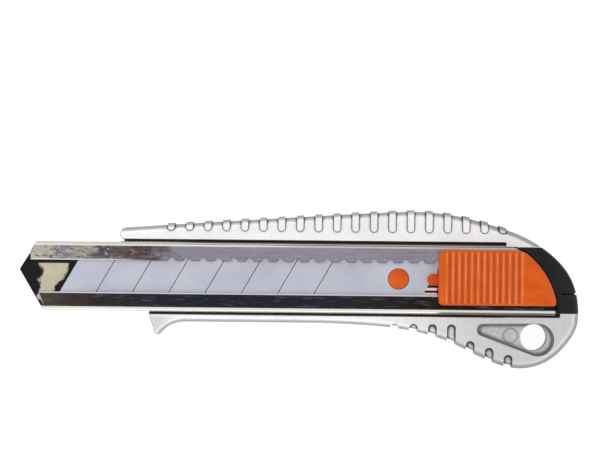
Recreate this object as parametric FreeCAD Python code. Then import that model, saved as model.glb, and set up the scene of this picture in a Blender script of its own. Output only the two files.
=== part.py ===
"""Snap-off utility knife with an 18 mm blade.

A one-piece die-cast handle holds a folded steel channel.  A plastic carrier slides in
the channel with the scored blade on its peg, and a thumb button rides on the carrier
through the channel's front window.  A steel leaf on the carrier drops its tooth into a
rack of notches in the channel's upper lip, and a plastic cap closes the rear end.

Everything is drawn in millimetres.  Stations run along X from the channel's front tip
to the rear end, heights run along Y from the channel's centre line, and Z rises from
the back face that the knife lies on to the thumb button.  The last step moves the
origin to the middle of the whole knife's footprint, on the back face.
"""
import FreeCAD, Part
import math
import os

# ---------------------------------------------------------------- driving dimensions
knife_length = 154.5        # front tip of the channel to the rear end of the handle
handle_thickness = 10.0     # back face to front face of the casting
handle_front = 27.9         # station where the casting's upper arm begins
back_wall = 2.8             # casting's wall behind the channel
edge_rounding = 1.9         # rounding of the casting's long outer edges
end_rounding = 0.6          # rounding of the casting's small front edges
pocket_chamfer = 0.3        # broken edge along the casting's two arms
hump_slope = 0.075          # rise of the hump per millimetre at its front end

blade_width = 18.0
blade_thickness = 0.5
segment_pitch = 10.0        # distance between two score lines
blade_slant = math.radians(30.0)
score_depth = 0.15
score_width = 0.3
bevel_width = 1.1           # ground cutting edge
edge_flat = 0.06            # thickness left at the cutting edge
blade_hole_radius = 2.95

sheet = 0.6                 # steel sheet of the channel
side_play = 0.1             # blade's edge to the channel's side
channel_depth = 3.8         # outer depth of the folded channel
channel_proud = 0.3         # channel's front above the casting's front
channel_gap = 0.45          # dark gap between the channel and the casting's arms
lip_width = 5.3             # folded lips, measured from the channel's outer side
bend_radius = 1.0           # outer radius of the channel's folds
tip_height = 1.7            # height of the channel's point above its centre line
upper_slant_run = 5.05      # length of the point's upper slanted edge
lower_slant_run = 6.7       # length of the point's lower slanted edge

rack_pitch = 4.3
notch_depth = 0.95
notch_mouth = 2.2
notch_top = 1.3
notch_rounding = 0.45
rack_start = 40.0           # the first notch lies at this station or behind it

button_length = 32.1
button_height = 4.5
button_gap = 0.15           # button's underside above the lips
button_wall = 1.4
button_rounding = 0.9
release_travel = 1.2        # button's own travel on the carrier, which frees the tooth
wave_pitch = 1.73
wave_depth = 0.4
wave_margin = 0.9           # plain strip above and below the waves

pad_radius = 5.0            # carrier's round pad under the blade, below the peg
peg_rise = 0.7              # peg's dome above the blade
nose_half = 1.6             # half width of the carrier's nose and tongue
nose_middle = -0.15
neck_length = 11.0
head_reach = 1.2            # overhang of the carrier's T head on each side
head_thickness = 0.9
rail_thickness = 0.9
pin_radius = 0.8
leaf_thickness = 0.35
leaf_width = 0.7
leaf_reach = 11.95          # tooth to the leaf's eye
leaf_swing = math.radians(5.0)

rear_arc_radius = 22.45     # inner curve of the end cap
slit_width = 0.5            # blade-snapping slit in the cap
slit_length = 4.8
hole_radius = 3.7           # lanyard hole
recess_depth = 1.8          # teardrop recess around the lanyard hole
recess_draft = 0.7          # how far its walls slope inwards

rib_pitch = 5.08            # raised grip ribs on the hump
rib_width = 1.9
rib_rise = 0.45
groove_pitch = 5.23         # recessed grip grooves on the belly
groove_width = 2.4
groove_depth = 0.7

rivet_shank = 1.2
rivet_head = 2.1
tail_recess = 1.2           # depth of the round recess around a rivet's tail
tail_height = 0.8

running_gap = 0.15          # plastic parts to the steel around them
cap_gap = 0.15              # cap to the casting above and below it
steel_to_cap = 0.3          # channel and casting stop this far before the cap
button_to_cap = 0.5
pin_gap = 0.05
rivet_gap = 0.03
over = 1.0                  # how far a cutting tool runs past the piece
same_face = 0.0001          # the handle's two crossed slabs: faces this near count as one

# ---------------------------------------------------------------- worked-out dimensions
channel_half = blade_width / 2 + side_play + sheet
pocket_half = channel_half + channel_gap
window_half = channel_half - lip_width
cavity_half = channel_half - 2.2
lip_top = handle_thickness + channel_proud
lip_under = lip_top - sheet
seat = lip_top - channel_depth
floor_top = seat + sheet

blade_under_gap = 0.05
blade_top_gap = 0.3
blade_base = lip_under - blade_top_gap - blade_thickness
blade_top = blade_base + blade_thickness
nose_rise = lip_top - 0.1
carrier_base = floor_top + running_gap
tongue_top = blade_base - blade_under_gap
body_top = lip_under - running_gap

button_base = lip_top + button_gap
button_top = button_base + button_height
button_roof = button_top - button_wall
button_front = knife_length - 38.9
button_low = -channel_half + 2.7
button_high = channel_half - 1.5

blade_rear = button_front - 6.9
segment_count = int((blade_rear - 7.0) / segment_pitch)
score_count = segment_count - 3
blade_tip = blade_rear - segment_count * segment_pitch
peg_x = blade_rear - 4.0

tooth_x = button_front + 3.95
rack_steps = int((tooth_x - rack_start) / rack_pitch)
rack_front = tooth_x - rack_steps * rack_pitch

neck_front = tooth_x + 4.0
neck_rear = neck_front + neck_length
neck_low = -window_half + 1.0
neck_high = window_half - 3.8
rail_top = button_base + rail_thickness
head_base = rail_top + 0.2
carrier_rear = neck_rear + 2.0

eye_x = tooth_x + leaf_reach
eye_y = window_half - 1.4
eye_radius = pin_radius + 0.4
leaf_base = body_top + pin_gap
leaf_top = leaf_base + leaf_width
strip_y = eye_y + 0.15              # lower side of the leaf's long strip
ear_x = tooth_x + 2.0
ear_length = 0.5

rear_arc_x = knife_length - 28.07
rear_arc_y = -pocket_half + 0.16
tab_x = knife_length - 20.3         # cast tab that locks into the channel's upper side
tab_y = channel_half - 0.5
block_x = knife_length - 5.2        # front of the casting's solid block under the cap
block_y = -channel_half + 0.55
hole_x = knife_length - 12.3
hole_y = -pocket_half - 5.65
rivet_stations = [handle_front + 27.0, knife_length - 49.5]

nose_top = (handle_front + 1.5, pocket_half + 3.3)
nose_low = (handle_front + 0.9, pocket_half)
belly_end = (knife_length - 74.5, -pocket_half - 2.22)
hook_root = (handle_front + 17.6, -pocket_half - 2.22)
hook_rear = (handle_front + 11.5, -pocket_half - 5.35)
belly_limit = -pocket_half - 20.0   # lower than any point of the belly


# ---------------------------------------------------------------- drawing helpers
def at(x, y, z=0.0):
    return FreeCAD.Vector(x, y, z)


def block(x0, x1, y0, y1, z0, z1):
    """Box between two corners."""
    return Part.makeBox(x1 - x0, y1 - y0, z1 - z0, at(x0, y0, z0))


def post(x, y, radius, z0, z1):
    """Round post standing along Z."""
    return Part.makeCylinder(radius, z1 - z0, at(x, y, z0))


def line(first, last):
    return Part.LineSegment(at(*first), at(*last)).toShape()


def arc(first, middle, last):
    return Part.Arc(at(*first), at(*middle), at(*last)).toShape()


def rounded_wire(corners, radii):
    """Closed polygon of straight edges whose corners are tangent arcs of the given radii."""
    count = len(corners)
    ends = []
    for i in range(count):
        here = corners[i]
        back = (corners[i - 1] - here).normalize()
        ahead = (corners[(i + 1) % count] - here).normalize()
        half_angle = back.getAngle(ahead) / 2
        trim = radii[i] / math.tan(half_angle)
        middle = (back + ahead).normalize()
        bulge = here + middle * (radii[i] / math.sin(half_angle) - radii[i])
        ends.append((here + back * trim, bulge, here + ahead * trim))
    edges = []
    for i in range(count):
        start, bulge, finish = ends[i]
        if radii[i] > 0:
            edges.append(Part.Arc(start, bulge, finish).toShape())
        following = ends[(i + 1) % count][0]
        if finish.distanceToPoint(following) > 1e-6:
            edges.append(Part.LineSegment(finish, following).toShape())
    return Part.Wire(edges)


def prism(points, z0, z1, radii=None):
    """Upright prism on a polygon of (x, y) points, with one rounding radius per corner."""
    wire = rounded_wire([at(x, y, z0) for x, y in points], radii or [0.0] * len(points))
    return Part.Face(wire).extrude(at(0, 0, z1 - z0))


def rectangle(x0, x1, y0, y1):
    """Corners in the order front low, rear low, rear high, front high."""
    return [(x0, y0), (x1, y0), (x1, y1), (x0, y1)]


def bar_along_x(section, x0, x1):
    """Bar whose section is a polygon of (y, z) points."""
    corners = [at(x0, y, z) for y, z in section]
    face = Part.Face(Part.makePolygon(corners + corners[:1]))
    return face.extrude(at(x1 - x0, 0, 0))


def join(pieces):
    whole = pieces[0]
    for piece in pieces[1:]:
        whole = whole.fuse(piece)
    return whole.removeSplitter()


def inside_rear_arc(gap, z0, z1):
    """Everything ahead of the cap's inner curve, kept the given gap away from it."""
    disc = post(rear_arc_x, rear_arc_y, rear_arc_radius - gap, z0, z1)
    reach = 2 * knife_length
    return disc.fuse(block(-reach, rear_arc_x, -reach, reach, z0, z1))


def edges_at(shape, *heights):
    """Edges that lie wholly in one of the level planes at these heights."""
    found = []
    for edge in shape.Edges:
        box = edge.BoundBox
        for height in heights:
            if abs(box.ZMin - height) < 1e-4 and abs(box.ZMax - height) < 1e-4:
                found.append(edge)
    return found


# ---------------------------------------------------------------- handle casting
def hump_to_belly(grow=0.0):
    """Long outer curve of the handle and cap, over the hump, round the rear and along the
    belly, moved outwards by grow along its own normals."""
    arm = pocket_half
    rear = knife_length
    points = [
        nose_top,
        (handle_front + 21.5, arm + 4.75),
        (rear - 76.9, arm + 6.65),
        (rear - 54.0, arm + 8.12),
        (rear - 43.8, arm + 8.38),
        (rear - 34.1, arm + 7.4),
        (rear - 24.4, arm + 5.0),
        (rear - 14.8, arm + 1.55),
        (rear - 7.9, 0.72 * arm),
        (rear - 3.5, 0.27 * arm),
        (rear - 1.1, -0.2 * arm),
        (rear - 0.1, -0.75 * arm),
        (rear - 0.5, -arm - 2.6),
        (rear - 3.0, -arm - 7.1),
        (rear - 8.4, -arm - 12.1),
        (rear - 16.2, -arm - 14.25),
        (rear - 24.4, -arm - 12.35),
        (rear - 35.5, -arm - 7.15),
        (rear - 46.5, -arm - 4.05),
        (rear - 60.4, -arm - 2.6),
        belly_end,
    ]
    tangents = {"InitialTangent": at(1, hump_slope), "FinalTangent": at(-1, 0)}
    curve = Part.BSplineCurve()
    curve.interpolate([at(x, y) for x, y in points], **tangents)
    if grow:
        moved = []
        for x, y in points:
            along = curve.tangent(curve.parameter(at(x, y)))[0]
            moved.append(at(x, y) + at(-along.y, along.x) * grow)
        curve = Part.BSplineCurve()
        curve.interpolate(moved, **tangents)
    return curve.toShape()


def hook_hollow():
    """Concave curve between the belly and the finger hook."""
    return arc(hook_root, (handle_front + 14.1, -pocket_half - 3.2), hook_rear)


def true_outline():
    """Side outline of handle and cap: nose, long curve, belly, hook and hidden front line."""
    hook_front = (handle_front + 9.6, -pocket_half - 5.1)
    hook_top = (handle_front + 8.0, -pocket_half)
    return Part.Wire([
        arc(nose_low, (handle_front + 0.05, pocket_half + 2.2), nose_top),
        hump_to_belly(),
        line(belly_end, hook_root),
        hook_hollow(),
        arc(hook_rear, (handle_front + 10.4, -pocket_half - 5.8), hook_front),
        line(hook_front, hook_top),
        line(hook_top, nose_low),
    ])


def extended_outline():
    """The long curve and the hook's hollow, run on to a plain far end ahead of the nose."""
    far = handle_front - 40.0
    far_top = (far, nose_top[1] - hump_slope * (nose_top[0] - far))
    tail = (handle_front - 4.0, belly_limit - 7.0)
    far_low = (far, belly_limit - 7.0)
    return Part.Wire([
        line(far_top, nose_top),
        hump_to_belly(),
        line(belly_end, hook_root),
        hook_hollow(),
        line(hook_rear, tail),
        line(tail, far_low),
        line(far_low, far_top),
    ])


def moved_outline(grow):
    """The long curve moved outwards by grow and closed by a plain line, for grip features."""
    curve = hump_to_belly(grow)
    first, last = (vertex.Point for vertex in curve.Vertexes)
    return Part.Wire([curve, Part.LineSegment(last, first).toShape()])


def rounded_slab(wire, z0, z1, rounding):
    """Slab on an outline, with its long curved edges rounded."""
    slab = Part.Face(wire).extrude(at(0, 0, z1 - z0))
    slab.translate(at(0, 0, z0))
    near = handle_front - 5.0
    rims = edges_at(slab, z0, z1)
    long_rims = [e for e in rims if e.BoundBox.XMax > near and e.BoundBox.YMin > belly_limit]
    return slab.makeFillet(rounding, long_rims)


def handle_slab():
    """Handle and cap in one: wide rounding along the sides, small rounding at the front."""
    sides = rounded_slab(extended_outline(), 0.0, handle_thickness, edge_rounding)
    ends = Part.Face(true_outline()).extrude(at(0, 0, handle_thickness))
    ends = ends.makeFillet(end_rounding, edges_at(ends, 0.0, handle_thickness))
    return sides.common([ends], same_face)


def grip_ribs():
    """Raised ribs that start on the front face at one height and run over the hump."""
    first = handle_front + 14.0
    count = int((knife_length - 21.0 - first) / rib_pitch) + 1
    front_rise = 0.3
    grown = rounded_slab(moved_outline(rib_rise), 0.0, handle_thickness + front_rise, edge_rounding)
    half = rib_width / 2
    end = half * 0.9
    low = pocket_half + 2.7
    bars = []
    for k in range(count):
        x = first + k * rib_pitch
        foot = rectangle(x - half, x + half, low, low + 10.0)
        bars.append(prism(foot, -over, handle_thickness + over, [end, end, 0.0, 0.0]))
    return grown.common(Part.makeCompound(bars))


def grip_grooves():
    """Cutting tool for the arched grooves on the belly: slots around a smaller core."""
    inner = handle_thickness - groove_depth
    core = rounded_slab(moved_outline(-groove_depth), groove_depth, inner, edge_rounding - groove_depth)
    first = knife_length - 50.8
    drops = [2.2, 2.2, 2.2, 2.2, 6.75, 8.55, 10.45]     # arch tops below the casting's arm
    half = groove_width / 2
    end = half * 0.98
    slots = []
    for k, drop in enumerate(drops):
        x = first + k * groove_pitch
        foot = rectangle(x - half, x + half, belly_limit, -pocket_half - drop)
        slots.append(prism(foot, -over, handle_thickness + over, [0.0, 0.0, end, end]))
    return Part.makeCompound(slots).cut(core)


def teardrop_wire(z, shrink):
    """Tangent hull of a small and a large circle, both drawn smaller by the shrink."""
    small = at(hole_x - 14.1, hole_y + 2.0, z)
    large = at(hole_x + 1.0, hole_y - 0.6, z)
    small_radius = 1.75 - shrink
    large_radius = 4.55 - 0.8 * shrink
    span = large - small
    heading = math.atan2(span.y, span.x)
    lean = math.acos((small_radius - large_radius) / span.Length)

    def on(centre, radius, turn):
        return centre + at(math.cos(turn), math.sin(turn)) * radius

    upper_small = on(small, small_radius, heading + lean)
    lower_small = on(small, small_radius, heading - lean)
    upper_large = on(large, large_radius, heading + lean)
    lower_large = on(large, large_radius, heading - lean)
    return Part.Wire([
        Part.Arc(lower_small, on(small, small_radius, heading + math.pi), upper_small).toShape(),
        Part.LineSegment(upper_small, upper_large).toShape(),
        Part.Arc(upper_large, on(large, large_radius, heading), lower_large).toShape(),
        Part.LineSegment(lower_large, lower_small).toShape(),
    ])


def lanyard_recesses():
    """Cutting tool: the teardrop recess on both faces, the hole and an ejector's mark."""
    floor = handle_thickness - recess_depth
    front = Part.makeLoft([teardrop_wire(floor, recess_draft), teardrop_wire(handle_thickness, 0.0)], True)
    back = Part.makeLoft([teardrop_wire(0.0, 0.0), teardrop_wire(recess_depth, recess_draft)], True)
    hole = post(hole_x, hole_y, hole_radius, -over, handle_thickness + over)
    ejector = post(hole_x - 6.4, hole_y + 0.45, 1.9, floor - 0.12, floor + 0.1)
    return [front, back, hole, ejector]


def channel_pocket():
    """Cutting tool: the channel's pocket, its broken front edges, and the cap's bay."""
    top = handle_thickness + over
    end = knife_length + over
    pocket = join([
        block(-over, tab_x, -pocket_half, pocket_half, seat, top),
        block(tab_x - over, block_x, -pocket_half, tab_y, seat, top),
        block(block_x - over, end, block_y, tab_y, seat, top),
    ])
    flare = pocket_half + pocket_chamfer
    edge = handle_thickness - pocket_chamfer
    section = [
        (-pocket_half, edge), (pocket_half, edge), (flare, handle_thickness),
        (flare, top), (-flare, top), (-flare, handle_thickness),
    ]
    bay = block(rear_arc_x, end, block_y, tab_y, -over, top)
    bay = bay.cut(inside_rear_arc(steel_to_cap, -over, top))
    return [pocket, bar_along_x(section, -over, tab_x)], bay


def cavities():
    """Cutting tools: hollow cells behind the channel, parted by the rivets' webs."""
    web_half = 3.0
    corner = 1.5
    rear_end = knife_length - 24.0
    starts = [handle_front + 10.0] + [x + web_half for x in rivet_stations]
    finishes = [x - web_half for x in rivet_stations] + [rear_end]
    cells = []
    for start, finish in zip(starts, finishes):
        foot = rectangle(start, finish, -cavity_half, cavity_half)
        cells.append(prism(foot, back_wall, seat + 0.5, [corner] * 4))
    cells.append(block(rear_end, knife_length, -cavity_half, plug_high(), back_wall, seat + 0.5))
    return cells


def plug_high():
    """Upper side of the rear cell, which takes the cap's lower tongue."""
    return cavity_half * 0.75


def handle_casting():
    body = handle_slab().fuse(grip_ribs()).cut(grip_grooves())
    pockets, bay = channel_pocket()
    tools = pockets + [bay] + cavities() + lanyard_recesses()
    for x in rivet_stations:
        tools.append(post(x, 0.0, rivet_shank + rivet_gap, -over, seat + over))
        tools.append(post(x, 0.0, rivet_head + rivet_gap, -over, tail_recess))
    for tool in tools:
        body = body.cut(tool)
    return body.removeSplitter()


# ---------------------------------------------------------------- channel and its rivets
def channel_section():
    """Folded C section across the channel, open at the front between its lips."""
    half = channel_half
    inside = channel_half - sheet
    inner = bend_radius - sheet
    rounded_corners = [
        (window_half, lip_top, 0.0), (half, lip_top, bend_radius),
        (half, seat, bend_radius), (-half, seat, bend_radius),
        (-half, lip_top, bend_radius), (-window_half, lip_top, 0.0),
        (-window_half, lip_under, 0.0), (-inside, lip_under, inner),
        (-inside, floor_top, inner), (inside, floor_top, inner),
        (inside, lip_under, inner), (window_half, lip_under, 0.0),
    ]
    corners = [at(0, y, z) for y, z, radius in rounded_corners]
    return Part.Face(rounded_wire(corners, [radius for y, z, radius in rounded_corners]))


def pointed_front():
    """Everything behind the channel's pointed front outline."""
    half = channel_half + over
    upper_run = upper_slant_run / (channel_half - tip_height)
    lower_run = lower_slant_run / (channel_half + tip_height)
    points = [
        (0.0, tip_height),
        (lower_run * (half + tip_height), -half),
        (knife_length, -half),
        (knife_length, half),
        (upper_run * (half - tip_height), half),
    ]
    return prism(points, seat - over, lip_top + over, [0.7, 0.0, 0.0, 0.0, 0.0])


def lip_trims():
    """Cutting tools that set the lips' front ends back from the channel's point."""
    above_floor = seat + bend_radius
    upper = [
        (-over, window_half - over), (3.3, window_half - over), (3.3, channel_half - 1.1),
        (1.5, channel_half + 2.0), (-over, channel_half + 2.0),
    ]
    lower = [
        (-over, -window_half + over), (5.2, -window_half + over),
        (7.2, -channel_half + 1.3), (-over, -channel_half + 1.3),
    ]
    return [prism(points, above_floor, lip_top + over) for points in (upper, lower)]


def rack_notches():
    """Cutting tool for the notches, wide at the lip's edge and rounded at the top."""
    mouth = notch_mouth / 2
    top = notch_top / 2
    high = window_half + notch_depth
    notches = []
    for k in range(rack_steps + 1):
        x = rack_front + k * rack_pitch
        points = [
            (x - mouth, window_half), (x - mouth, window_half - over),
            (x + mouth, window_half - over), (x + mouth, window_half),
            (x + top, high), (x - top, high),
        ]
        radii = [0.0, 0.0, 0.0, 0.0, notch_rounding, notch_rounding]
        notches.append(prism(points, lip_under - 0.2, lip_top + 0.2, radii))
    return Part.makeCompound(notches)


def rivet_sink(x, grow):
    """Countersunk head of one rivet, flush with the channel's floor."""
    cone = Part.makeCone(rivet_shank + grow, rivet_head + grow, sheet, at(x, 0, seat))
    return cone.fuse(post(x, 0, rivet_shank + grow, seat - 0.5, seat + 0.1))


def blade_channel():
    low = seat - over
    high = lip_top + over
    channel = channel_section().extrude(at(knife_length, 0, 0))
    channel = channel.common(pointed_front())
    channel = channel.common(inside_rear_arc(steel_to_cap, low, high))
    tab_slot = block(tab_x - cap_gap, knife_length, tab_y - cap_gap, channel_half + over, low, high)
    block_slot = block(block_x - over, knife_length, -channel_half - over, block_y + cap_gap, low, high)
    tools = lip_trims() + [rack_notches(), tab_slot, block_slot]
    tools += [rivet_sink(x, rivet_gap) for x in rivet_stations]
    for tool in tools:
        channel = channel.cut(tool)
    return channel.removeSplitter()


def channel_rivets():
    bottom = tail_recess - tail_height
    rivets = []
    for x in rivet_stations:
        shank = post(x, 0, rivet_shank, bottom, seat + 0.1)
        tail = post(x, 0, rivet_head, bottom, tail_recess)
        tail = tail.makeFillet(0.35, edges_at(tail, bottom))
        rivets.append(join([shank, tail, rivet_sink(x, 0.0)]))
    return Part.makeCompound(rivets)


# ---------------------------------------------------------------- blade
def cutting_bevels():
    """Cutting tools that grind both faces down to the cutting edge."""
    low = -blade_width / 2 - 0.01
    middle = blade_base + blade_thickness / 2
    tools = []
    for side, face in ((1, blade_top), (-1, blade_base)):
        section = [
            (low, middle + side * edge_flat / 2),
            (low + bevel_width, face + side * 0.001),
            (low, face + side * 0.3),
        ]
        tools.append(bar_along_x(section, blade_tip - over, blade_rear + over))
    return tools


def score_lines():
    """Cutting tool: slanted V grooves across the blade's front face."""
    reach = 1.0
    half = blade_width / 2
    run = blade_width + 2 * reach
    grooves = []
    for k in range(1, score_count + 1):
        foot = blade_tip + k * segment_pitch - reach * math.tan(blade_slant)
        left = at(foot - score_width / 2, -half - reach, blade_top + 0.01)
        right = at(foot + score_width / 2, -half - reach, blade_top + 0.01)
        bottom = at(foot, -half - reach, blade_top - score_depth)
        section = Part.Face(Part.makePolygon([left, bottom, right, left]))
        grooves.append(section.extrude(at(run * math.tan(blade_slant), run, 0)))
    return Part.makeCompound(grooves)


def snap_off_blade():
    half = blade_width / 2
    lean = blade_width * math.tan(blade_slant)
    corners = [(blade_tip, -half), (blade_rear, -half), (blade_rear + lean, half), (blade_tip + lean, half)]
    blade = prism(corners, blade_base, blade_top)
    hole = post(peg_x, 0, blade_hole_radius, blade_base - over, blade_top + over)
    for tool in cutting_bevels() + [score_lines(), hole]:
        blade = blade.cut(tool)
    return blade


# ---------------------------------------------------------------- carrier, leaf and button
def carrier_nose():
    """Nose behind the blade's slanted rear edge, with a round finger that laps over it."""
    lean = math.tan(blade_slant)
    low, high = nose_middle - nose_half, nose_middle + nose_half
    foot = blade_rear + side_play / math.cos(blade_slant) + blade_width / 2 * lean
    rear = button_front + 7.4
    points = [(foot + low * lean, low), (rear, low), (rear, high), (foot + high * lean, high)]
    finger_foot = rectangle(button_front - 3.0, rear, low, high)
    finger_base = blade_top + blade_under_gap
    finger = prism(finger_foot, finger_base, nose_rise, [1.5, 0.0, 0.0, 1.5])
    finger = finger.makeFillet(0.35, edges_at(finger, nose_rise))
    return prism(points, tongue_top - 0.2, finger_base + 0.2).fuse(finger)


def domed_peg():
    """Round peg through the blade's hole, with a low dome on top."""
    top = blade_top + peg_rise
    radius = blade_hole_radius - running_gap
    ball = (radius ** 2 + peg_rise ** 2) / (2 * peg_rise)
    peg = post(peg_x, 0, radius, tongue_top - 0.2, top)
    return peg.common(Part.makeSphere(ball, at(peg_x, 0, top - ball)))


def blade_carrier():
    """Slide behind the blade: tongue with the peg, body, nose, T-headed neck, leaf pin."""
    half = channel_half - sheet - side_play - 0.1
    front = button_front + 3.4
    tongue_foot = rectangle(peg_x, carrier_rear, nose_middle - nose_half, nose_middle + nose_half)
    body_foot = [(front, -half), (carrier_rear, -half), (carrier_rear, half), (front + 3.0, half)]
    root = body_top - 0.2
    return join([
        prism(tongue_foot, carrier_base, tongue_top),
        post(peg_x, 0, pad_radius, carrier_base, tongue_top),
        prism(body_foot, carrier_base, body_top, [0.6] * 4),
        carrier_nose(),
        domed_peg(),
        block(neck_front, neck_rear, neck_low, neck_high, root, head_base + 0.1),
        block(neck_front, neck_rear, neck_low - head_reach, neck_high + head_reach,
              head_base, head_base + head_thickness),
        post(eye_x, eye_y, pin_radius, root, leaf_top),
    ])


def lock_spring():
    """Steel leaf on edge: an eye on the carrier's pin, a strip, the tooth, and an ear."""
    strip_high = strip_y + leaf_thickness
    tooth_half = notch_top / 2 - 0.15
    tooth_foot = tooth_half + 0.35
    tooth_tip = window_half + notch_depth - 0.15
    tooth = [
        (tooth_x - tooth_foot, strip_y), (tooth_x + tooth_foot, strip_y),
        (tooth_x + tooth_half, tooth_tip), (tooth_x - tooth_half, tooth_tip),
    ]
    arm = [
        (eye_x - 3.0, strip_y), (eye_x, eye_y),
        (eye_x, eye_y + eye_radius), (eye_x - 3.0, strip_high),
    ]
    leaf = join([
        block(tooth_x, eye_x, strip_y, strip_high, leaf_base, leaf_top),
        prism(tooth, leaf_base, leaf_top, [0.0, 0.0, 0.3, 0.3]),
        prism(arm, leaf_base, leaf_top),
        block(ear_x, ear_x + ear_length, strip_y, strip_high, leaf_base, lip_top + 1.0),
        post(eye_x, eye_y, eye_radius, leaf_base, leaf_top),
    ])
    return leaf.cut(post(eye_x, eye_y, pin_radius + pin_gap, leaf_base - over, leaf_top + over))


def release_ramp():
    """Wedge under the button's roof that pushes the leaf's ear down as the button moves."""
    slope = (eye_x - ear_x) * math.sin(leaf_swing) / release_travel
    touch_x = ear_x + ear_length
    touch_y = strip_y + leaf_thickness + 0.12
    length = release_travel + 0.9
    points = [
        (touch_x, touch_y), (touch_x + length, touch_y - slope * length),
        (touch_x + length, touch_y + 1.6), (touch_x, touch_y + 1.6),
    ]
    return prism(points, leaf_top + running_gap, button_roof + 0.3)


def button_rails():
    """Rails that hold the button under the carrier's T head, and its front stop."""
    front = neck_front - 0.1
    rear = neck_rear + release_travel + 0.4
    low_side = button_low + button_wall - 0.2
    web_low = neck_high + head_reach + 0.2
    web_high = web_low + 0.7
    roof = button_roof + 0.3
    return [
        block(front, rear, low_side, neck_low - running_gap, button_base, rail_top),
        block(front, rear, neck_high + running_gap, web_high, button_base, rail_top),
        block(front, rear, web_low, web_high, button_base, roof),
        block(neck_front - 0.9, neck_front - 0.1, low_side, web_high, head_base, roof),
    ]


def wave_tools():
    """Cutting tools: shallow round grooves side by side across the button's top."""
    radius = (wave_pitch ** 2 / 4 + wave_depth ** 2) / (2 * wave_depth)
    run = button_high - button_low - 2 * wave_margin
    first = button_front + 3.0
    count = int((button_length - 8.4) / wave_pitch)
    waves = []
    for k in range(count):
        x = first + (k + 0.5) * wave_pitch
        start = at(x, button_low + wave_margin, button_top - wave_depth + radius)
        waves.append(Part.makeCylinder(radius, run, start, at(0, 1, 0)))
    return Part.makeCompound(waves)


def slider_button():
    """Thumb button: waved top, curved rear side, hollow underside with two rails."""
    foot = rectangle(button_front, knife_length, button_low, button_high)
    body = prism(foot, button_base, button_top, [1.6, 0.0, 0.0, 1.0])
    body = body.common(inside_rear_arc(button_to_cap, button_base - over, button_top + over))
    body = body.removeSplitter()
    rear_corners = [
        e for e in body.Edges
        if e.BoundBox.ZLength > button_height - 0.1 and e.BoundBox.XMin > button_front + button_length / 2
    ]
    body = body.makeFillet(1.0, rear_corners)
    body = body.makeFillet(button_rounding, edges_at(body, button_top))
    hollow_foot = rectangle(
        button_front + button_wall, neck_rear + release_travel + 0.1,
        button_low + button_wall, button_high - button_wall,
    )
    hollow = prism(hollow_foot, button_base - over, button_roof, [0.6] * 4)
    body = body.cut(wave_tools()).cut(hollow)
    return join([body] + button_rails() + [release_ramp()])


# ---------------------------------------------------------------- end cap
def end_cap():
    """Black rear cap: crescent as thick as the handle, two tongues, slit from the front."""
    top = handle_thickness + over
    end = knife_length + over
    bay = block(rear_arc_x, end, block_y + cap_gap, tab_y - cap_gap, -over, top)
    crescent = handle_slab().common(bay).cut(inside_rear_arc(0.0, -over, top))
    front = tab_x + 4.0
    reach = rear_arc_x + rear_arc_radius
    side = channel_half - sheet - 0.7
    upper = block(front, reach, -side, side, floor_top + running_gap, lip_under - running_gap)
    lower = block(front, reach, -cavity_half + running_gap, plug_high() - running_gap,
                  back_wall + running_gap, seat - running_gap)
    behind = inside_rear_arc(-0.5, -over, top)
    slit_low = -0.36 * pocket_half - slit_width / 2
    slit = block(knife_length - slit_length, end, slit_low, slit_low + slit_width, back_wall, top)
    return join([crescent, upper.common(behind), lower.common(behind)]).cut(slit)


# ---------------------------------------------------------------- build and export
nodes = {
    "handle_casting": handle_casting(),
    "blade_channel": blade_channel(),
    "channel_rivets": channel_rivets(),
    "snap_off_blade": snap_off_blade(),
    "blade_carrier": blade_carrier(),
    "lock_spring": lock_spring(),
    "slider_button": slider_button(),
    "end_cap": end_cap(),
}

whole = Part.makeCompound(list(nodes.values())).BoundBox
origin = at((whole.XMin + whole.XMax) / 2, (whole.YMin + whole.YMax) / 2, 0.0)

os.makedirs("parts", exist_ok=True)
for name, shape in nodes.items():
    shape.translate(origin * -1)
    shape.exportStep("parts/" + name + ".step")
    print(name, len(shape.Solids), "solids, valid", shape.isValid(), "volume", round(shape.Volume, 1))
print("origin at station", round(origin.x, 3), "height", round(origin.y, 3))
print("blade travel", round(rack_steps * rack_pitch, 3))
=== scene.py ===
"""Looks of a snap-off utility knife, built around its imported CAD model.

Lengths are metres in the model's own frame: X runs from the blade's end to the rear cap,
Y from the hook up to the hump, and Z from the back face up to the thumb button.
"""
import math

import bpy
import numpy as np
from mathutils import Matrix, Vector


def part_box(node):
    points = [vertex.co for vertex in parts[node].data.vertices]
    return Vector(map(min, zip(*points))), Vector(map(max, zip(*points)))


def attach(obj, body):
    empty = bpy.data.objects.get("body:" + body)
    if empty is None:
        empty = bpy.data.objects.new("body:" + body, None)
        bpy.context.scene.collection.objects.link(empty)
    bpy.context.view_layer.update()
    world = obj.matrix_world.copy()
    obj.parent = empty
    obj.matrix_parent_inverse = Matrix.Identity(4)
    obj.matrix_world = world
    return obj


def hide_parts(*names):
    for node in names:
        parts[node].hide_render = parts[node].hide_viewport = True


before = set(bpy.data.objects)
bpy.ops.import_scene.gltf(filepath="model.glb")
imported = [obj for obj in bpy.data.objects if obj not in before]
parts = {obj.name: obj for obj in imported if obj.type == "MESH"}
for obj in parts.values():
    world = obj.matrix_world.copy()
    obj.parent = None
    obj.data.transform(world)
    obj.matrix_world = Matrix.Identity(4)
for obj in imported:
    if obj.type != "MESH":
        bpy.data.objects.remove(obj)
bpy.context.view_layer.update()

MM = 0.001


def spot(x, y, z=0.0):
    """A point given in millimetres."""
    return Vector((x * MM, y * MM, z * MM))


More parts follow.
